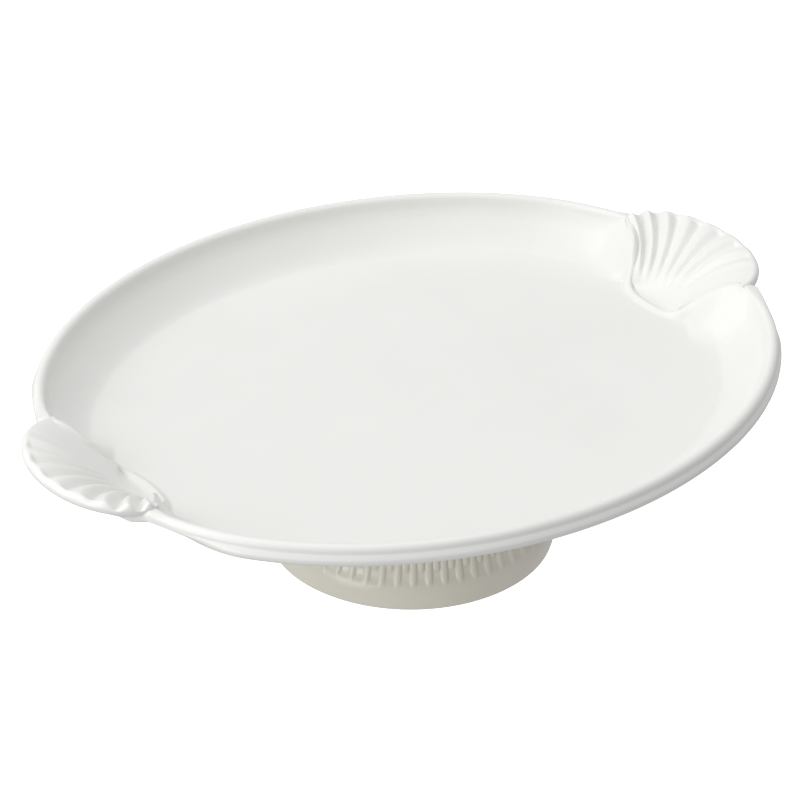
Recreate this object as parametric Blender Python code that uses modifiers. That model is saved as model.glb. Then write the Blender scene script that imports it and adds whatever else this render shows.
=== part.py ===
"""Oval footed cake tray in glazed ceramic, with a scallop-shell handle at each end.

Metres, +Z up. The origin is at the centre of the foot's resting face, and the tray's long axis lies along X.
The dish, the two shells and the foot are separate castings, joined by thin layers of slip.
"""

import math

import bmesh
import bpy

# Driving dimensions
RIM_A = 0.1700  # half length of the oval that runs along the middle of the lip
RIM_B = 0.1442  # half width of the same oval
LIP_Z = 0.0913  # height of the middle of the lip
LIP_R = 0.0027  # radius of the rolled lip
FLOOR_Z = 0.0730  # top of the dish's floor
FLOOR_T = 0.0048  # thickness of the floor
WALL_RUN = 0.022  # how far in from the lip the wall reaches the floor
BELLY = 0.0032  # how far the outside of the wall stands past the middle of the lip
WALL_T = 0.0050  # how deep the slip in a shell's joint is
COVE_POWER = 1.4  # how quickly the cove steepens towards the lip
CENTRE_R = 0.120  # inside this radius the floor's rings keep one proportion

UMBO_X = 0.1475  # the point where a shell's ribs meet
UMBO_Z = 0.0755
SHELL_DEPTH = 0.0378  # from the umbo out to the middle of the shell's edge
SHELL_HALF = 0.0505  # half width that the edge's curve would reach beside the umbo
SHELL_RISE = 0.0042  # how far the middle of the edge stands above the lip
SHELL_T = 0.0045  # thickness of a shell
RIBS = 10
RIB_HEIGHT = 0.0016
SEAM_X = 0.1390  # where the seam between dish and shell crosses the long axis
SEAM_SLOPE = 0.6  # how far the seam opens for each metre across
SEAM_ROUND = 0.008  # roundness of its nose
SEAM_HALF = 0.0465  # half width of the gap at the lip
SLIP_T = 0.0009  # thickness of a layer of slip
SLIP_SUNK = 0.0008  # how far a shell's slip stays below the glazed face

FOOT_R = 0.0655  # outer radius of the foot at the table
BAND_H = 0.0115  # height of the plain band
TOP_R = 0.0545  # outer radius of the foot under the dish
FOOT_WALL = 0.0060
RING_W = 0.0080  # width of the ring that the foot rests on

GAP = 0.0003  # between touching pieces

DISH_STEPS = 96
FOOT_STEPS = 72
FAN_STEPS = RIBS * 6
SEAM_STEPS = 28
SHELL_RINGS = 7

WHITE_GLAZE = (0.80, 0.82, 0.81)
CREAM_GLAZE = (0.72, 0.69, 0.61)
BARE_SLIP = (0.66, 0.62, 0.55)


def clear_scene():
    for old in list(bpy.data.objects):
        bpy.data.objects.remove(old, do_unlink=True)


def new_collection(name):
    collection = bpy.data.collections.new(name)
    bpy.context.scene.collection.children.link(collection)
    return collection


def glaze(name, colour, roughness):
    material = bpy.data.materials.new(name)
    material.use_nodes = True
    shader = material.node_tree.nodes["Principled BSDF"]
    shader.inputs["Base Color"].default_value = (*colour, 1.0)
    shader.inputs["Roughness"].default_value = roughness
    return material


def add_object(name, mesh, collection, material=None):
    item = bpy.data.objects.new(name, mesh)
    collection.objects.link(item)
    if material:
        mesh.materials.append(material)
    return item


def turned(name, profile, steps, collection):
    """A profile of (radius, height) points, run from the top down the outside, turned about Z."""
    mesh = bpy.data.meshes.new(name)
    points = [(radius, 0.0, height) for radius, height in profile]
    mesh.from_pydata(points, [(i, i + 1) for i in range(len(points) - 1)], [])
    item = add_object(name, mesh, collection)
    screw = item.modifiers.new("turn", "SCREW")
    screw.steps = steps
    screw.render_steps = steps
    screw.use_merge_vertices = True
    screw.merge_threshold = 0.00002
    return item


def as_mesh(item):
    """Replace an object by one that holds its evaluated mesh."""
    graph = bpy.context.evaluated_depsgraph_get()
    mesh = bpy.data.meshes.new_from_object(item.evaluated_get(graph))
    name = item.name
    collection = item.users_collection[0]
    bpy.data.objects.remove(item, do_unlink=True)
    return add_object(name, mesh, collection)


def smooth(item, angle=40.0):
    item.data.shade_smooth()
    item.data.set_sharp_from_angle(angle=math.radians(angle))


def ring_distance(x, y):
    """How far inside the lip's oval a point lies, counted in ovals that are all the same distance apart."""
    near, far = -0.03, RIM_B - 0.001
    for _ in range(40):
        middle = (near + far) / 2
        inside = (x / (RIM_A - middle)) ** 2 + (y / (RIM_B - middle)) ** 2 < 1
        near, far = (middle, far) if inside else (near, middle)
    return near


def cove_height(distance):
    """Height of the dish's inner face, from the floor up the cove to the lip."""
    up = 1 - min(max(distance / WALL_RUN, 0.0), 1.0)
    return FLOOR_Z + (LIP_Z - FLOOR_Z) * up**COVE_POWER


def seam_point(across, shift=0.0):
    """A point of the seam between the dish and the right shell."""
    nose = math.hypot(across, SEAM_ROUND) - SEAM_ROUND
    return SEAM_X + SEAM_SLOPE * nose + shift, across


def dish_profile():
    steps = [0.0, 0.12, 0.26, 0.42, 0.60, 0.80, 1.0]
    inner = [(RIM_A - WALL_RUN * q, cove_height(WALL_RUN * q)) for q in reversed(steps) if q > 0.05]
    lip_angles = [150, 110, 70, 30, -10, -50]
    lip = [
        (RIM_A + LIP_R * math.cos(math.radians(a)), LIP_Z + LIP_R * math.sin(math.radians(a)))
        for a in lip_angles
    ]
    outside = [(BELLY, 0.0045), (0.0016, 0.0082), (-0.0040, 0.0125), (-0.0130, 0.0180)]
    outer = [(RIM_A + past, LIP_Z - down) for past, down in outside]
    under = FLOOR_Z - FLOOR_T
    flat_top = [(0.0, FLOOR_Z), (CENTRE_R, FLOOR_Z)]
    flat_under = [(RIM_A - WALL_RUN - 0.004, under), (CENTRE_R, under), (0.0, under)]
    return flat_top + inner + lip + outer + flat_under


def make_oval(item):
    """Bring the turned dish to its oval: rings stay the same distance apart outside the centre."""
    for vertex in item.data.vertices:
        radius = math.hypot(vertex.co.x, vertex.co.y)
        if radius > 0:
            narrowing = (RIM_A - RIM_B) * min(1.0, radius / CENTRE_R)
            vertex.co.y *= (radius - narrowing) / radius


def gap_cutter(name, side, collection):
    """A tall block in the outline of one shell, to open the dish's wall for it."""
    shift = -(SLIP_T + 2 * GAP)
    across = [SEAM_HALF * (2 * i / SEAM_STEPS - 1) for i in range(SEAM_STEPS + 1)]
    seam = [seam_point(y, shift) for y in across]
    end_x, end_y = seam[-1]
    mouth = [(end_x + 0.016, end_y + 0.0065), (end_x + 0.030, 0.0), (end_x + 0.016, -end_y - 0.0065)]
    outline = [(side * x, y) for x, y in seam + mouth]
    curve = bpy.data.curves.new(name, "CURVE")
    curve.dimensions = "2D"
    curve.fill_mode = "BOTH"
    curve.extrude = 0.03
    spline = curve.splines.new("POLY")
    spline.points.add(len(outline) - 1)
    for point, (x, y) in zip(spline.points, outline):
        point.co = (x, y, 0.0, 1.0)
    spline.use_cyclic_u = True
    block = as_mesh(add_object(name, curve, collection))
    weld = block.modifiers.new("weld", "WELD")
    weld.merge_threshold = 0.00001
    block = as_mesh(block)
    block.location.z = LIP_Z - 0.01
    block.hide_render = True
    block.display_type = "WIRE"
    return block


def cut(item, cutter):
    boolean = item.modifiers.new("gap", "BOOLEAN")
    boolean.operation = "DIFFERENCE"
    boolean.solver = "EXACT"
    boolean.object = cutter


def make_dish(collection, cutters, material):
    dish = as_mesh(turned("dish", dish_profile(), DISH_STEPS, collection))
    make_oval(dish)
    dish.data.materials.append(material)
    smooth(dish)
    for side, label in ((-1, "left"), (1, "right")):
        cut(dish, gap_cutter(f"gap_{label}", side, cutters))
    return dish


def shell_outline():
    """The shell's outline round its umbo: the fan's edge first, then back along the seam.

    Each entry is a point, its height, and how strongly the ribs show there.
    """
    corner_x, corner_y = seam_point(SEAM_HALF)
    corner = math.atan2(corner_y / SHELL_HALF, (corner_x - UMBO_X) / SHELL_DEPTH)
    outline = []
    for i in range(FAN_STEPS):
        turn = corner * (2 * i / FAN_STEPS - 1)
        x = UMBO_X + SHELL_DEPTH * math.cos(turn)
        y = SHELL_HALF * math.sin(turn)
        lift = SHELL_RISE * max(0.0, 1 - (y / SEAM_HALF) ** 2)
        rib = abs(math.sin(math.pi * RIBS * i / FAN_STEPS))
        outline.append((x, y, LIP_Z + LIP_R + lift, rib))
    for i in range(SEAM_STEPS):
        across = SEAM_HALF * (1 - 2 * i / SEAM_STEPS)
        x, y = seam_point(across)
        outline.append((x, y, cove_height(ring_distance(x, y)) + 0.0006, 0.0))
    return outline


def shell_height(share, edge_height, rib):
    """Height of the scoop's face, a share of the way from the umbo to the outline."""
    swell = share * share * (3 - 2 * share)
    ridge = RIB_HEIGHT * rib * share * (1 - 0.4 * share)
    return UMBO_Z + (edge_height - UMBO_Z) * (0.35 * share + 0.65 * swell) + ridge


def make_shell(name, side, collection, material):
    """A turned disc, moved so that its rings run from the umbo to the shell's outline."""
    outline = shell_outline()
    count = len(outline)
    rings = [(ring + 1) / SHELL_RINGS for ring in range(SHELL_RINGS)]
    profile = [(0.0, 1.0)] + [(share, 1.0) for share in rings]
    profile += [(share, 0.0) for share in reversed(rings)] + [(0.0, 0.0)]
    shell = as_mesh(turned(name, profile, count, collection))
    for vertex in shell.data.vertices:
        share = math.hypot(vertex.co.x, vertex.co.y)
        turn = math.atan2(vertex.co.y, vertex.co.x) % (2 * math.pi)
        x, y, edge_height, rib = outline[round(turn / (2 * math.pi) * count) % count]
        top = shell_height(share, edge_height, rib)
        plain = shell_height(share, edge_height, 0.5 if rib > 0 else 0.0)
        height = top if vertex.co.z > 0.5 else plain - SHELL_T
        vertex.co = (side * (UMBO_X + (x - UMBO_X) * share), y * share, height)
    if side < 0:
        shell.data.flip_normals()
    shell.data.materials.append(material)
    smooth(shell)
    return shell


def make_shell_slip(name, side, collection, material):
    """The strip of slip between a shell's back edge and the dish, as deep as the wall."""
    form = bmesh.new()
    rows = []
    for i in range(SEAM_STEPS - 1):
        across = (SEAM_HALF - 0.002) * (1 - 2 * i / (SEAM_STEPS - 2))
        row = []
        for shift in (-GAP, -GAP - SLIP_T):
            x, y = seam_point(across, shift)
            height = cove_height(ring_distance(x, y)) - SLIP_SUNK
            row.append(form.verts.new((side * x, y, height)))
        rows.append(row)
    for (near, far), (next_near, next_far) in zip(rows, rows[1:]):
        form.faces.new((near, next_near, next_far, far))
    wall = bmesh.ops.extrude_face_region(form, geom=form.faces[:])
    lower = [part for part in wall["geom"] if isinstance(part, bmesh.types.BMVert)]
    bmesh.ops.translate(form, verts=lower, vec=(0.0, 0.0, 2 * SLIP_SUNK - WALL_T))
    bmesh.ops.recalc_face_normals(form, faces=form.faces[:])
    mesh = bpy.data.meshes.new(name)
    form.to_mesh(mesh)
    form.free()
    return add_object(name, mesh, collection, material)


def make_foot(collection, material):
    """A hollow turned pedestal: plain band, tapering wall with its band of relief, and a flat top."""
    top = FLOOR_Z - FLOOR_T - SLIP_T - 2 * GAP
    profile = [
        (TOP_R - FOOT_WALL, top),
        (TOP_R, top),
        (TOP_R + 0.0004, top - 0.010),
        (TOP_R + 0.0022, top - 0.024),
        (FOOT_R - 0.0040, BAND_H + 0.014),
        (FOOT_R - 0.0014, BAND_H + 0.0022),
        (FOOT_R - 0.0004, BAND_H),
        (FOOT_R, BAND_H - 0.0030),
        (FOOT_R, 0.0008),
        (FOOT_R - 0.0008, 0.0),
        (FOOT_R - RING_W, 0.0),
        (FOOT_R - RING_W + 0.0005, 0.0030),
        (FOOT_R - 0.0040 - FOOT_WALL, BAND_H + 0.014),
        (TOP_R + 0.0022 - FOOT_WALL, top - 0.024),
        (TOP_R + 0.0004 - FOOT_WALL, top - 0.010),
        (TOP_R - FOOT_WALL, top),
    ]
    foot = turned("foot", profile, FOOT_STEPS, collection)
    foot.data.materials.append(material)
    foot = as_mesh(foot)
    smooth(foot)
    return foot


def make_foot_slip(collection, material):
    """The ring of slip on the foot's top, squeezed out a little past the wall."""
    under = FLOOR_Z - FLOOR_T - GAP
    bottom = under - SLIP_T
    inner = TOP_R - FOOT_WALL + 0.0010
    outer = TOP_R + 0.0012
    profile = [(inner, under), (outer - 0.0004, under), (outer, under - SLIP_T / 2)]
    profile += [(outer - 0.0004, bottom), (inner, bottom), (inner, under)]
    ring = as_mesh(turned("foot_slip_ring", profile, FOOT_STEPS, collection))
    ring.data.materials.append(material)
    return ring


def main():
    clear_scene()
    parts = new_collection("cake_stand")
    cutters = new_collection("cutters")
    white = glaze("white_glaze", WHITE_GLAZE, 0.12)
    cream = glaze("cream_glaze", CREAM_GLAZE, 0.22)
    slip = glaze("bare_slip", BARE_SLIP, 0.7)
    make_dish(parts, cutters, white)
    for side, label in ((-1, "left"), (1, "right")):
        make_shell(f"shell_handle_{label}", side, parts, white)
        make_shell_slip(f"shell_slip_{label}", side, parts, slip)
    make_foot(parts, cream)
    make_foot_slip(parts, slip)


main()
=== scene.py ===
# %% [markdown]
# # A footed cake tray with scallop-shell handles
#
# The real tray is a white glazed dish, a little longer than it is wide, with a ribbed shell at each end
# and a round, hollow foot. The foot is given a darker, warmer cream than the dish: painted shade and warm
# bounce light from under the dish. The imported frame fixes the overall sizes. This script gives each
# casting its finished surface: the soft cove of the wall, the ribs of the shells, the pressed
# tongues round the foot, and the glaze over it all.
#
# Everything is in metres. The origin is on the table, under the middle of the dish.

# %% Load the frame
import math

import bpy
import numpy as np
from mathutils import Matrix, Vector
from mathutils.geometry import interpolate_bezier


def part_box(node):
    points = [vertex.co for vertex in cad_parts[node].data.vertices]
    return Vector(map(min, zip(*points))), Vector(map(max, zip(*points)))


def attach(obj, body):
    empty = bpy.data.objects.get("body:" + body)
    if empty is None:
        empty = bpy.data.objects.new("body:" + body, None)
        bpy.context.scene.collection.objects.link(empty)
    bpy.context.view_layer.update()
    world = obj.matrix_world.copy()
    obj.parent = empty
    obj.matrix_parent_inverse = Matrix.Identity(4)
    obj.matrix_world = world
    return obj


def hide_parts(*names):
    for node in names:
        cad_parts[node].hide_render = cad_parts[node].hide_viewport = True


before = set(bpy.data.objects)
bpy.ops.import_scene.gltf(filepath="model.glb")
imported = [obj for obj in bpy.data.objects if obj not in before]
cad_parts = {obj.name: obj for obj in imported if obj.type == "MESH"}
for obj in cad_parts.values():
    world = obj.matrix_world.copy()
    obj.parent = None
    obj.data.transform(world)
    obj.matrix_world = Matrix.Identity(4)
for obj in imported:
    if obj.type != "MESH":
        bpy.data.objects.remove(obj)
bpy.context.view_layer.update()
bpy.ops.object.select_all(action="DESELECT")

# %% [markdown]
# ## The camera
#
# Tableware keeps its proportions when it is seen from well back through a long lens, so that the oval
# hardly narrows towards the far side. A camera could be turned by typing three angles. Pointing it from a
# place to a target is easier to read, and to_track_quat does the turning.

# %% Camera
CAMERA_PLACE = Vector((-0.6766, -0.9341, 0.7614))
CAMERA_TARGET = Vector((-0.0039, 0.0028, 0.0688))
LENS = 135.8
SENSOR = 36.0
FAR_LIMIT = 20.0

camera_data = bpy.data.cameras.new("camera")
camera_data.lens = LENS
camera_data.sensor_width = SENSOR
camera_data.clip_end = FAR_LIMIT
camera = bpy.data.objects.new("camera", camera_data)
bpy.context.scene.collection.objects.link(camera)
camera.location = CAMERA_PLACE
camera.rotation_euler = (CAMERA_TARGET - CAMERA_PLACE).to_track_quat("-Z", "Y").to_euler()
bpy.context.scene.camera = camera
print("camera stands", round((CAMERA_PLACE - CAMERA_TARGET).length, 3), "m away")

# %% [markdown]
# ## Helpers for shaping
#
# Each piece starts as a primitive and is shaped in edit mode. Two habits save trouble: everything is
# deselected before a primitive is added, and the finished piece keeps its object at the origin, with its
# place in the mesh, so that a pattern on Object coordinates stays where it is.


# %% Small modelling helpers
WELD = 0.000002


def start_piece(name):
    """Name the primitive that was just added, and put its place into its mesh."""
    piece = bpy.context.active_object
    piece.name = name
    piece.data.name = name
    bpy.ops.object.transform_apply(location=True, rotation=True, scale=True)
    return piece


def corners(piece):
    """The piece's vertices as rows of x, y, z."""
    rows = np.empty(len(piece.data.vertices) * 3)
    piece.data.vertices.foreach_get("co", rows)
    return rows.reshape(-1, 3)


def set_corners(piece, rows):
    """Put rows of x, y, z back into the piece's vertices."""
    piece.data.vertices.foreach_set("co", np.asarray(rows, float).ravel())
    piece.data.update()


def edit(piece):
    """Select the piece alone and open it in edit mode."""
    bpy.ops.object.select_all(action="DESELECT")
    piece.select_set(True)
    bpy.context.view_layer.objects.active = piece
    bpy.ops.object.mode_set(mode="EDIT")


def weld_and_turn_out(piece):
    """Merge doubles, then point every face outwards."""
    edit(piece)
    bpy.ops.mesh.select_all(action="SELECT")
    bpy.ops.mesh.remove_doubles(threshold=WELD)
    bpy.ops.mesh.normals_make_consistent(inside=False)
    bpy.ops.object.mode_set(mode="OBJECT")
    bpy.ops.object.shade_smooth()
    print(piece.name, "has", len(piece.data.polygons), "faces")


def smooth_step(low, high, value):
    """0 below low, 1 above high and an S between; low may be the greater of the two."""
    share = np.clip((value - low) / (high - low), 0.0, 1.0)
    return share * share * (3 - 2 * share)


def through(points, steps=24):
    """A smooth line through a few points: each leg is a Bezier whose handles follow its neighbours."""
    points = [Vector(p) for p in points]
    before = [points[0]] + points[:-1]
    after = points[1:] + [points[-1]]
    slopes = [(b - a) / 6 for a, b in zip(before, after)]
    line = []
    for i in range(len(points) - 1):
        leg = interpolate_bezier(
            points[i], points[i] + slopes[i], points[i + 1] - slopes[i + 1], points[i + 1], steps + 1
        )
        line += leg[:-1]
    line.append(points[-1])
    return np.array([list(p) for p in line])


def spun(name, outline, steps):
    """Turn an outline of (radius, height) points about Z: a point is extruded along it, then spun."""
    bpy.ops.object.select_all(action="DESELECT")
    bpy.ops.mesh.primitive_plane_add(size=0.001, location=(outline[0][0], 0.0, outline[0][1]))
    piece = start_piece(name)
    bpy.ops.object.mode_set(mode="EDIT")
    bpy.ops.mesh.select_all(action="SELECT")
    bpy.ops.mesh.merge(type="CENTER")
    for (r, z), (next_r, next_z) in zip(outline, outline[1:]):
        bpy.ops.mesh.extrude_region_move(TRANSFORM_OT_translate={"value": (next_r - r, 0.0, next_z - z)})
    bpy.ops.mesh.select_all(action="SELECT")
    bpy.ops.mesh.spin(steps=steps, angle=2 * math.pi, center=(0, 0, 0), axis=(0, 0, 1))
    bpy.ops.object.mode_set(mode="OBJECT")
    return piece


# %% [markdown]
# ## Sizes of the dish
#
# The wall is a cove: it leaves the flat floor softly and is steepest just under the rolled lip. All the
# rings of the dish are ovals that lie the same distance apart, so the wall is as wide at the ends as it
# is at the sides. One function finds how far in from the lip a point lies, and another gives the height of
# the cove for that distance.

# %% Sizes shared by the dish and the shells
dish_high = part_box("dish")[1]
foot_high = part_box("foot")[1]
LIP_R = 0.0027
BELLY = 0.0042
CAD_BELLY = 0.0032
LIP_A = 0.1700
LIP_B = dish_high.y - CAD_BELLY
LIP_Z = dish_high.z - 0.94 * LIP_R
DEPTH = 0.0183
FLOOR_Z = LIP_Z - DEPTH
FLOOR_T = 0.0048
WALL_RUN = 0.0220
COVE_POWER = 1.40
CENTRE_R = 0.100
OUTERMOST = 0.03
HALVINGS = 36


def ring_distance(x, y):
    """How far inside the lip's oval a point lies, counted in ovals that are the same distance apart."""
    near = np.full(np.shape(x), -OUTERMOST)
    far = np.full(np.shape(x), LIP_B - 0.0005)
    for _ in range(HALVINGS):
        middle = (near + far) / 2
        inside = (x / (LIP_A - middle)) ** 2 + (y / (LIP_B - middle)) ** 2 < 1
        near = np.where(inside, middle, near)
        far = np.where(inside, far, middle)
    return near


def cove_height(distance):
    """Height of the dish's inner face, from the floor up the cove to the lip."""
    up = 1 - np.clip(distance / WALL_RUN, 0.0, 1.0)
    return FLOOR_Z + (LIP_Z - FLOOR_Z) * up**COVE_POWER


print("lip, mm:", round(LIP_A * 1000, 1), round(LIP_B * 1000, 1), round(LIP_Z * 1000, 1))
print("floor, mm:", round(FLOOR_Z * 1000, 1))

# %% [markdown]
# ## The line that frames each shell
#
# Where a shell begins, the lip turns inwards as a rounded nose, runs down the wall and ends as a thin
# bead on the floor, in front of the point where the ribs meet. That line, the brow, is the border of the
# scoop. One side stands up as a nose and the other leans into the wall, so it is drawn right
# round, with the few points that its shape needs. The other end of the dish has it turned half round.

# %% The brow
BROW = [
    (0.1660, 0.0475, LIP_Z + 0.0022),
    (0.1602, 0.0412, LIP_Z + 0.0028),
    (0.1556, 0.0362, LIP_Z + 0.0022),
    (0.1506, 0.0286, LIP_Z - 0.0002),
    (0.1454, 0.0226, LIP_Z - 0.0082),
    (0.1402, 0.0180, LIP_Z - 0.0142),
    (0.1370, 0.0110, LIP_Z - 0.0162),
    (0.1360, 0.0000, LIP_Z - 0.0164),
    (0.1370, -0.0110, LIP_Z - 0.0164),
    (0.1402, -0.0180, LIP_Z - 0.0142),
    (0.1454, -0.0226, LIP_Z - 0.0086),
    (0.1506, -0.0286, LIP_Z - 0.0020),
    (0.1556, -0.0362, LIP_Z + 0.0030),
    (0.1602, -0.0412, LIP_Z + 0.0038),
    (0.1660, -0.0475, LIP_Z + 0.0028),
]
brow = through(BROW)


def brow_reach(x, y):
    """Distance to the brow, positive on the dish's side, and the brow's height at the nearest point."""
    flat = np.stack([np.ravel(x), np.ravel(y)], 1)
    best = np.full(len(flat), 1.0)
    height = np.zeros(len(flat))
    side = np.ones(len(flat))
    for a, b in zip(brow[:-1], brow[1:]):
        leg = b[:2] - a[:2]
        share = np.clip(((flat - a[:2]) @ leg) / (leg @ leg), 0.0, 1.0)
        away = flat - (a[:2] + share[:, None] * leg)
        distance = np.hypot(away[:, 0], away[:, 1])
        closer = distance < best
        turn = leg[0] * away[:, 1] - leg[1] * away[:, 0]
        best = np.where(closer, distance, best)
        height = np.where(closer, a[2] + share * (b[2] - a[2]), height)
        side = np.where(closer, np.where(turn < 0, 1.0, -1.0), side)
    return (best * side).reshape(np.shape(x)), height.reshape(np.shape(x))


print("brow runs", round(float(np.linalg.norm(np.diff(brow, axis=0), axis=1).sum()) * 1000), "mm")

# %% [markdown]
# ## The dish
#
# A potter would press this dish in an oval mould. Here its section is spun about Z and then pulled to the
# oval, ring by ring. Spinning gives clean, even rings, which a scaled circle would too, but the rings'
# distances then have to stay equal, so every point is moved by the same amount and not by the same
# share.

# %% Section of the dish
DISH_STEPS = 720
NEAR_WALL = 0.050
OUTSIDE = [(0.0028, 0.0008), (0.0036, 0.0019), (BELLY, 0.0034), (0.0034, 0.0056), (-0.0012, 0.0088)]
OUTSIDE += [(-0.0088, 0.0136), (-0.0172, 0.0183), (-0.0280, 0.0224)]
NECK_FROM = 0.0062
NECK = [(NECK_FROM, cove_height(NECK_FROM)), (0.0047, LIP_Z - 0.0048), (0.0037, LIP_Z - 0.0031)]
NECK += [(0.0031, LIP_Z - 0.0014), (0.00268, LIP_Z + 0.0004)]


def dish_section():
    """The dish's section: across the floor, up the cove, round the lip and down the outside."""
    section = [(0.0, FLOOR_Z)]
    section += [(r, FLOOR_Z) for r in np.linspace(0.004, LIP_A - NEAR_WALL, 8)]
    for d in np.linspace(NEAR_WALL - 0.0011, NECK_FROM + 0.0010, 42):
        section.append((LIP_A - d, cove_height(d)))
    neck = through([(LIP_A - d, 0.0, z) for d, z in NECK], 3)
    section += [(float(r), float(z)) for r, _, z in neck]
    for turn in np.linspace(158, -5, 13):
        angle = math.radians(turn)
        section.append((LIP_A + LIP_R * math.cos(angle), LIP_Z + LIP_R * math.sin(angle)))
    outer = through([(LIP_A + past, 0.0, LIP_Z - down) for past, down in OUTSIDE], 4)
    section += [(float(r), float(z)) for r, _, z in outer]
    under = FLOOR_Z - FLOOR_T
    section += [(r, under) for r in (LIP_A - 0.036, LIP_A - 0.05, 0.09, 0.06, 0.03)]
    section.append((0.0, under))
    return section


dish = spun("dish_casting", dish_section(), DISH_STEPS)
weld_and_turn_out(dish)
points = corners(dish)
radius = np.hypot(points[:, 0], points[:, 1])
narrow = (LIP_A - LIP_B) * np.clip(radius / CENTRE_R, 0.0, 1.0)
points[:, 1] *= np.where(radius > 0, (radius - narrow) / np.maximum(radius, 1e-9), 1.0)
length, width = np.ptp(points[:, 0]), np.ptp(points[:, 1])
print("dish is", round(float(length) * 1000, 1), "by", round(float(width) * 1000, 1))

# %% [markdown]
# ## Joining the wall to the shells
#
# The points near each end of the dish are moved next. Beside a shell the wall rises to the brow, and under
# the shell it sinks out of sight. Where two slopes meet a faint crease is left, so the rise is evened out:
# each point there takes the mean of its neighbours, many times over. The low bead isn't evened, because
# that would flatten it. Last, the lip is drawn in a little beside and under the shell, and the outside of
# the wall is drawn in much more.

# %% Raise the brow and sink the wall under the shells
END_X, END_Y = 0.105, 0.085
BEAD_DOWN, NOSE_DOWN = 0.0165, 0.002
BEAD_RUN = 0.0030
NOSE_RUN = 0.0130
LEAN_RUN = 0.0220
SINK = 0.0045
NOSE_SOFT = 0.0012
EVEN_ROUNDS = 36
EVEN_FROM = 0.0010
EVEN_HIGH = 0.3
TUCK = 0.0030
TUCK_FULL, TUCK_NONE = 0.045, 0.084
LIP_SHARE = 0.4
WALL_SHARE = 2.4


def soft_max(a, b, radius):
    """The higher of two heights, with the corner between them rounded."""
    gap = np.clip(1 - np.abs(a - b) / radius, 0.0, 1.0)
    return np.maximum(a, b) + radius * gap**3 / 6


def relaxed(values, pairs, free, rounds):
    """Even out a value over the mesh: each free point takes the mean of its neighbours, many times."""
    ends = np.concatenate([pairs[:, 0], pairs[:, 1]])
    others = np.concatenate([pairs[:, 1], pairs[:, 0]])
    count = np.bincount(ends, minlength=len(values))
    for _ in range(rounds):
        mean = np.bincount(ends, values[others], len(values)) / count
        values = np.where(free, mean, values)
    return values


def raised_to_brow(plain, t, crest, y, inner):
    """Heights near a shell: a nose or a long lean beside the brow, and the wall sunk behind it."""
    high = smooth_step(LIP_Z - BEAD_DOWN, LIP_Z - NOSE_DOWN, crest)
    run = NOSE_RUN + (LEAN_RUN - NOSE_RUN) * smooth_step(0.010, -0.020, y)
    run = BEAD_RUN + (run - BEAD_RUN) * high**2
    outside = plain + np.clip(crest - plain, 0, None) * (1 - smooth_step(0.0, 1.0, t / run))
    hidden = smooth_step(0.002, 0.011, -t)
    sunk = plain - SINK * hidden * smooth_step(LIP_Z - 0.006, LIP_Z, plain)
    inner_nose = crest - np.clip(-t, 0, None) ** 2 / (2 * (0.0009 + 0.0006 * high))
    under_shell = soft_max(sunk, inner_nose, NOSE_SOFT)
    top = np.where(t >= 0, outside, under_shell)
    free = inner & (t > EVEN_FROM) & (plain < LIP_Z - 0.0002) & (high > EVEN_HIGH)
    return np.where(inner, top, sunk), free


def tucked_in(x, y, plain, inner):
    """How far the lip and, more so, the wall's outside are drawn in beside and under a shell."""
    inside = ring_distance(x, y)
    near_shell = 1 - smooth_step(TUCK_FULL, TUCK_NONE, np.abs(y))
    lip_part = LIP_SHARE * (1 - smooth_step(0.0, 0.008, inside))
    below = smooth_step(0.0004, 0.005, LIP_Z - plain)
    belly_part = WALL_SHARE * below * (1 - smooth_step(0.004, 0.026, inside))
    return TUCK * near_shell * (lip_part + np.where(inner, 0.0, belly_part))


def shape_ends(points, inner_face, pairs):
    """Move the points near each end of the dish: up to the brow, and down and in under the shell."""
    end = np.sign(points[:, 0])
    x, y, z = np.abs(points[:, 0]), points[:, 1] * end, points[:, 2].copy()
    zone = (x > END_X) & (np.abs(y) < END_Y)
    inner, plain = inner_face[zone], z[zone]
    t, crest = brow_reach(x[zone], y[zone])
    free = np.zeros(len(z), bool)
    z[zone], free[zone] = raised_to_brow(plain, t, crest, y[zone], inner)
    z = points[:, 2] + relaxed(z - points[:, 2], pairs, free, EVEN_ROUNDS)
    x[zone] -= tucked_in(x[zone], y[zone], plain, inner)
    return np.stack([x * end, points[:, 1], z], 1)


inner_face = points[:, 2] > cove_height(ring_distance(points[:, 0], points[:, 1])) - 0.0006
inner_face |= points[:, 2] > LIP_Z - 0.0004
pairs = np.zeros(2 * len(dish.data.edges), np.int32)
dish.data.edges.foreach_get("vertices", pairs)
set_corners(dish, shape_ends(points, inner_face, pairs.reshape(-1, 2)))

# %% [markdown]
# ## The shells
#
# Each shell is a fan of ten ribs. Its ribs start on a short arc above the bead, climb quickly and flatten
# towards the rim, then roll over a plain rounded edge that a thumb can hold. The fan could be cut from a
# sphere, but its ribs curve and narrow towards the sides. So a grid is laid down with one direction
# across the fan and the other along the ribs, and its points are moved to the fan's own curves. The grid
# goes round the edge and back underneath, so the shell is one closed casting.
#
# The second shell is the first one turned half round, except that FAN_DEEP lets each reach its own
# distance past the wall. On one side of a shell the grooves are bold and run on over the rolled edge. On
# its other side they fade out.

# %% Curves of the fan
RIBS = 10
FAN_X = 0.1570
FAN_DEEP = {"left": 0.0280, "right": 0.0240}
FAN_HALF = 0.0415
ROOT_X = 0.1475
ROOT_HALF = 0.0172
GROOVE_DEEP = 0.0026
ROLL_OUT = 0.0028
SIDE_TURN = 98
SIDE_CURL = 8
EDGE_LIFT = 0.0072
EDGE_DROP = 0.0020
FADED_DROP = 0.0012
ROOT_LOW = 0.0140
ROOT_ARC = 0.0062
ACROSS = 300
ALONG = 110


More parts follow.
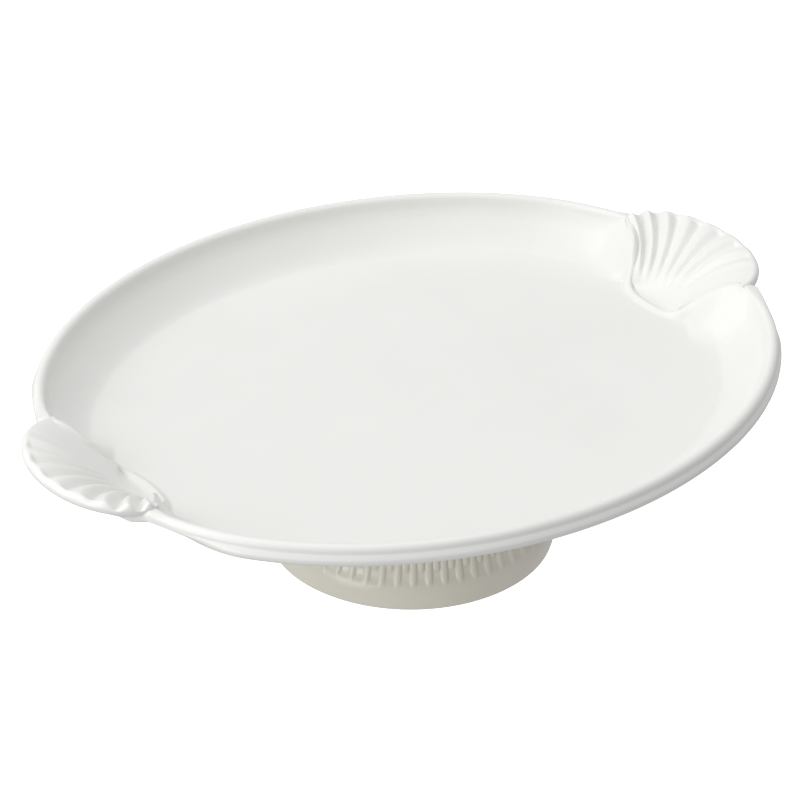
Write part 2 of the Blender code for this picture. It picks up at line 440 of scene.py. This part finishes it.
def fan_end(u, deep):
    """Where a rib's line meets the rolled edge. u runs from -1 to 1 across the fan."""
    turn = np.radians(SIDE_TURN * u - SIDE_CURL * u**3)
    lift = LIP_Z + EDGE_LIFT - EDGE_DROP * u * u - FADED_DROP * smooth_step(0.4, 1.0, -u)
    return FAN_X + deep * np.cos(turn), FAN_HALF * np.sin(turn), lift, turn


def fan_root(u):
    """Where a rib's line starts, on a short arc behind the bead."""
    return ROOT_X - ROOT_ARC * u * u, ROOT_HALF * u, LIP_Z - ROOT_LOW + 0.0006 * u * u


def fan_face(u, s, deep):
    """A point of the fan's face without its ribs, a share s of the way from the root to the edge."""
    root_x, root_y, root_z = fan_root(u)
    end_x, end_y, end_z, _ = fan_end(u, deep)
    chord_x, chord_y = end_x - root_x, end_y - root_y
    length = np.hypot(chord_x, chord_y)
    bow = np.sign(u) * (0.0072 * np.abs(u) - 0.0048 * u * u) * np.sin(np.pi * np.clip(s, 0, 1))
    x = root_x + chord_x * s + bow * chord_y / length
    y = root_y + chord_y * s - bow * chord_x / length
    rise = 1 - np.clip(1 - s, 0, None) ** (1.6 - 0.4 * u * u)
    return x, y, root_z + (end_z - root_z) * rise


def groove_depth(u, s):
    """Depth of the grooves: bold and open over the edge on one side, and faded out on the other."""
    crown = (np.sin(np.pi * RIBS / 2 * u) ** 2 + 0.004) ** 0.72
    grown = 0.75 * smooth_step(-0.02, 0.40, s) + 0.25 * smooth_step(0.4, 0.9, s)
    grown = grown * (1 - smooth_step(0.95, 1.03, s) * (1 - 0.8 * smooth_step(0.3, 0.7, u)))
    side = (1 - 0.6 * smooth_step(0.93, 1.0, u)) * (1 + 0.6 * smooth_step(0.3, 0.8, u))
    side *= 1 - smooth_step(0.15, 0.70, -u)
    return GROOVE_DEEP * (1 - crown) * grown * side


# %% Build one shell
FACE_FROM, FACE_TO, ROLL_TO = 0.12, 0.66, 0.80
ROLL_TURN = math.radians(190)
ROLL_DOWN = 0.0027
APRON_DOWN = 0.0046


def roll_reach(u, share):
    """How far the rolled edge stands out past a rib's end; it is narrower at the sides."""
    return ROLL_OUT * (1 - 0.6 * u**4) * share


def fan_section(u, v, deep):
    """The closed section of the shell at u: v runs from the bead over the face, round the edge and back."""
    root_x, root_y, root_z = fan_root(u)
    end_x, end_y, end_z, turn = fan_end(u, deep)
    out_x, out_y = np.cos(turn), np.sin(turn)
    back = np.clip(1 - v / FACE_FROM, 0, 1)
    apron = (root_x - (0.0100 - 0.0080 * u * u) * back, root_y * (1 - 0.06 * back),
             root_z - APRON_DOWN * (1 - (1 - back) ** 1.8))
    s = np.clip((v - FACE_FROM) / (FACE_TO - FACE_FROM), 0, 1)
    x, y, z = fan_face(u, s, deep)
    face = (x, y, z - groove_depth(u, s))
    swing = np.clip((v - FACE_TO) / (ROLL_TO - FACE_TO), 0, 1) * ROLL_TURN
    reach = roll_reach(u, np.where(swing < np.pi / 2, np.sin(swing), 0.5 + 0.5 * np.sin(swing)))
    left = groove_depth(u, 1.0) * np.cos(np.minimum(swing, np.pi / 2))
    roll = (end_x + out_x * reach, end_y + out_y * reach, end_z - left - ROLL_DOWN * (1 - np.cos(swing)))
    share = np.clip((v - ROLL_TO) / (1 - ROLL_TO), 0, 1)
    last = roll_reach(u, 0.5 + 0.5 * math.sin(ROLL_TURN))
    start_x, start_y = end_x + out_x * last, end_y + out_y * last
    start_z = end_z - ROLL_DOWN * (1 - math.cos(ROLL_TURN))
    under = (start_x + (root_x - 0.002 - start_x) * share, start_y + (root_y * 0.9 - start_y) * share,
             start_z + (FLOOR_Z - 0.0022 - start_z) * (1 - (1 - share) ** 1.5))
    stretch = [v < FACE_FROM, v < FACE_TO, v < ROLL_TO]
    return [np.select(stretch, [apron[i], face[i], roll[i]], under[i]) for i in range(3)]


def make_shell(name, side, deep):
    """Lay down a grid, move its points to the fan's curves and close it; side turns it half round."""
    bpy.ops.object.select_all(action="DESELECT")
    bpy.ops.mesh.primitive_grid_add(x_subdivisions=ACROSS, y_subdivisions=ALONG, size=1.0)
    shell = start_piece(name)
    rows = corners(shell)
    x, y, z = fan_section(2 * rows[:, 0], np.clip(rows[:, 1] + 0.5, 0.0, 1.0), deep)
    set_corners(shell, np.stack([side * x, side * y, z], 1))
    edit(shell)
    bpy.ops.mesh.select_all(action="SELECT")
    bpy.ops.mesh.remove_doubles(threshold=WELD)
    bpy.ops.mesh.select_all(action="DESELECT")
    bpy.ops.mesh.select_non_manifold()
    bpy.ops.mesh.fill_holes(sides=0)
    bpy.ops.object.mode_set(mode="OBJECT")
    weld_and_turn_out(shell)
    return shell


shells = {
    label: make_shell(f"shell_{label}_casting", side, FAN_DEEP[label])
    for side, label in ((-1, "left"), (1, "right"))
}

# %% [markdown]
# ## The foot
#
# The foot is thrown or pressed as a hollow ring, with a plain band at the table and a belt of pressed
# tongues above it, long and short by turns. Modelling one tongue and copying it round would work, but the
# tongues share one skin. So the foot is spun with ten points for each tongue, and the points inside a
# tongue are moved outwards.

# %% Section of the foot
FOOT_R = foot_high.x
BAND_H = 0.0124
TOP_R = 0.0545
FOOT_WALL = 0.0060
RING_W = 0.0080
BAND_STEP = 0.0008
TONGUES = 114
STEPS_EACH = 10
TONGUE_DEEP = 0.0011
TONGUE_SLIM = 2.15
BELT_SUNK = 0.0007
FOOT_CURVE = 0.62
FADE_LOW, FADE_HIGH = 0.016, 0.008
LONG_START = 0.0128
SHORT_START = 0.0180


def foot_radius(z):
    """Outer radius of the foot's plain form at a height."""
    share = np.clip((z - BAND_H) / (foot_high.z - BAND_H), 0.0, 1.0)
    return FOOT_R - BAND_STEP - (FOOT_R - BAND_STEP - TOP_R) * share**FOOT_CURVE


def foot_section():
    """The foot's section: down the outside, round the ring that touches the table and up the inside."""
    top = foot_high.z
    section = [(TOP_R - FOOT_WALL, top)]
    section += [(float(foot_radius(z)), float(z)) for z in np.linspace(top, BAND_H + 0.0001, 62)]
    section += [(FOOT_R, BAND_H - 0.0016), (FOOT_R, 0.0050)]
    section += [(FOOT_R, 0.0016), (FOOT_R - 0.0003, 0.0006), (FOOT_R - 0.0009, 0.0001)]
    section += [(FOOT_R - 0.0030, 0.0), (FOOT_R - RING_W + 0.001, 0.0), (FOOT_R - RING_W, 0.0008)]
    for z in np.linspace(0.004, top, 14):
        section.append((float(foot_radius(max(z, BAND_H))) - FOOT_WALL, float(z)))
    return section


def press_tongues(points):
    """Move the points of the belt: out inside a tongue, and in a little between the tongues."""
    height = points[:, 2]
    radius = np.hypot(points[:, 0], points[:, 1])
    angle = np.arctan2(points[:, 1], points[:, 0])
    number = np.floor(angle / (2 * np.pi) * TONGUES)
    place = angle / (2 * np.pi) * TONGUES - number - 0.5
    start = np.where(number % 2 == 0, LONG_START, SHORT_START)
    half = 2 * np.pi * FOOT_R / TONGUES / 2
    from_end = (height - start) / half
    round_end = np.clip(1 - from_end, 0.0, 1.0)
    inward = np.hypot(place * TONGUE_SLIM, round_end)
    tongue = np.sqrt(np.clip(1 - inward**2, 0.0, 1.0)) * (from_end > 0)
    belt = smooth_step(BAND_H, BAND_H + 0.0030, height)
    fade = 1 - smooth_step(foot_high.z - FADE_LOW, foot_high.z - FADE_HIGH, height)
    outside = radius > foot_radius(np.maximum(height, BAND_H)) - 0.001
    in_belt = outside & (height > BAND_H - 0.0001)
    raised = np.where(in_belt, (tongue * TONGUE_DEEP - BELT_SUNK * belt) * fade, 0.0)
    points[:, 0] *= 1 + raised / np.maximum(radius, 1e-6)
    points[:, 1] *= 1 + raised / np.maximum(radius, 1e-6)
    return points


foot = spun("foot_casting", foot_section(), TONGUES * STEPS_EACH)
set_corners(foot, press_tongues(corners(foot)))
weld_and_turn_out(foot)

# %% [markdown]
# ## The ring of slip
#
# The foot is stuck on with slip, and the potter wipes what squeezes out into a soft fillet. It is spun
# like the foot, from a short concave section.

# %% Ring of slip
ring_low, ring_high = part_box("foot_slip_ring")
RING_OUT = 0.0012
RING_STEPS = 160


def slip_section():
    """The fillet's section: flat against the dish and the foot, and hollow on the outside."""
    top, bottom = ring_high.z + 0.0003, ring_low.z - 0.0012
    section = [(TOP_R - FOOT_WALL + 0.001, top), (TOP_R + RING_OUT, top)]
    for share in np.linspace(0.2, 1.0, 5):
        section.append((TOP_R + RING_OUT * (1 - share) ** 2, top + (bottom - top) * share))
    section += [(TOP_R - FOOT_WALL + 0.001, bottom), (TOP_R - FOOT_WALL + 0.001, top)]
    return section


slip_ring = spun("foot_fillet", slip_section(), RING_STEPS)
weld_and_turn_out(slip_ring)

# %% [markdown]
# ## Glazes
#
# Glaze is glass over clay: its colour is flat and pale, and nearly all of its life is in the gloss.
# A plain white shader would look like plastic. Real glaze is never quite even, so a slow noise shifts the
# colour by a hair, a finer noise makes the surface ripple slightly, and the gloss itself varies a little.
# The slip round the top of the foot is glazed over with the foot, so it has the foot's finish, painted
# shade included.


# %% Glaze maker
def noise(nodes, links, where, scale, detail):
    """A noise on Object coordinates."""
    texture = nodes.new("ShaderNodeTexNoise")
    texture.inputs["Scale"].default_value = scale
    texture.inputs["Detail"].default_value = detail
    links.new(where.outputs["Object"], texture.inputs["Vector"])
    return texture


def glaze(name, colour, thin_colour, roughness, ripple):
    """A glaze: thin_colour mixed in by a slow noise, ripple for how uneven its skin is."""
    material = bpy.data.materials.new(name)
    material.use_nodes = True
    nodes, links = material.node_tree.nodes, material.node_tree.links
    shader = nodes["Principled BSDF"]
    shader.inputs["IOR"].default_value = 1.52
    where = nodes.new("ShaderNodeTexCoord")
    cloud = noise(nodes, links, where, 22.0, 4.0)
    tint = nodes.new("ShaderNodeValToRGB")
    tint.color_ramp.elements[0].position = 0.35
    tint.color_ramp.elements[0].color = (*thin_colour, 1.0)
    tint.color_ramp.elements[1].position = 0.65
    tint.color_ramp.elements[1].color = (*colour, 1.0)
    links.new(cloud.outputs["Fac"], tint.inputs["Fac"])
    links.new(tint.outputs["Color"], shader.inputs["Base Color"])
    gloss = nodes.new("ShaderNodeMapRange")
    gloss.inputs["To Min"].default_value = roughness - 0.03
    gloss.inputs["To Max"].default_value = roughness + 0.04
    links.new(cloud.outputs["Fac"], gloss.inputs["Value"])
    links.new(gloss.outputs["Result"], shader.inputs["Roughness"])
    wave = noise(nodes, links, where, 60.0, 2.0)
    bump = nodes.new("ShaderNodeBump")
    bump.inputs["Strength"].default_value = ripple
    bump.inputs["Distance"].default_value = 0.001
    links.new(wave.outputs["Fac"], bump.inputs["Height"])
    links.new(bump.outputs["Normal"], shader.inputs["Normal"])
    return material


white_glaze = glaze("white_glaze", (0.815, 0.82, 0.795), (0.80, 0.805, 0.78), 0.30, 0.02)
# The foot's darker, warmer cream is painted shade and warm bounce light from under the dish; the real foot
# has the dish's white glaze.
cream_glaze = glaze("cream_glaze", (0.76, 0.735, 0.66), (0.72, 0.69, 0.60), 0.24, 0.05)

FINISHES = [
    (dish, white_glaze, "white_glaze", ["dish"]),
    (shells["left"], white_glaze, "white_glaze", ["shell_handle_left", "shell_slip_left"]),
    (shells["right"], white_glaze, "white_glaze", ["shell_handle_right", "shell_slip_right"]),
    (foot, cream_glaze, "cream_glaze", ["foot"]),
    (slip_ring, cream_glaze, "bare_slip", ["foot_slip_ring"]),
]
for piece, material, slot_name, nodes_replaced in FINISHES:
    piece.data.materials.clear()
    piece.data.materials.append(material)
    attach(piece, "root")
    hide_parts(*nodes_replaced)
    print(piece.name, "stands for", ", ".join(nodes_replaced))

# %% [markdown]
# ## Floor and light
#
# White ware on a white sweep needs light from everywhere, or its edges vanish in shadow. The floor glows
# so it stays white right up to the foot, but it doesn't light the ware, which would bleach its outside.
# A large soft lamp high on the left gives the wall its darker side, a low one reaches the foot, and a wide
# one overhead, which the gloss doesn't mirror, lifts the floor of the dish and its lip. The even studio
# fills in the rest.

# %% Floor
bpy.ops.object.select_all(action="DESELECT")
bpy.ops.mesh.primitive_plane_add(size=8.0, location=(0.0, 0.0, 0.0))
floor = start_piece("floor")
paper = bpy.data.materials.new("paper")
paper.use_nodes = True
paper_shader = paper.node_tree.nodes["Principled BSDF"]
paper_shader.inputs["Base Color"].default_value = (0.90, 0.90, 0.90, 1.0)
paper_shader.inputs["Roughness"].default_value = 0.9
paper_shader.inputs["Specular IOR Level"].default_value = 0.0
paper_shader.inputs["Emission Color"].default_value = (1.0, 1.0, 1.0, 1.0)
paper_shader.inputs["Emission Strength"].default_value = 1.0
floor.data.materials.append(paper)
floor.visible_diffuse = False
floor.visible_glossy = False


# %% Lights
def soft_lamp(name, place, size, power, target=(0.0, 0.0, 0.07)):
    """A round soft lamp that points from its place to a target."""
    lamp = bpy.data.lights.new(name, "AREA")
    lamp.shape = "DISK"
    lamp.size = size
    lamp.energy = power
    item = bpy.data.objects.new(name, lamp)
    bpy.context.scene.collection.objects.link(item)
    item.location = place
    item.rotation_euler = (Vector(target) - Vector(place)).to_track_quat("-Z", "Y").to_euler()
    return item


soft_lamp("key", (-1.45, 0.50, 1.45), 2.0, 17.5)
soft_lamp("side", (-1.40, -0.25, 0.14), 0.9, 6.5, (0.0, 0.0, 0.03))
soft_lamp("sky", (0.1, 0.5, 2.2), 2.5, 20.0).visible_glossy = False

world = bpy.data.worlds.new("studio")
bpy.context.scene.world = world
world.use_nodes = True
studio = world.node_tree.nodes["Background"]
studio.inputs["Color"].default_value = (1.0, 1.0, 1.0, 1.0)
studio.inputs["Strength"].default_value = 0.52
bpy.context.scene.view_settings.view_transform = "Standard"
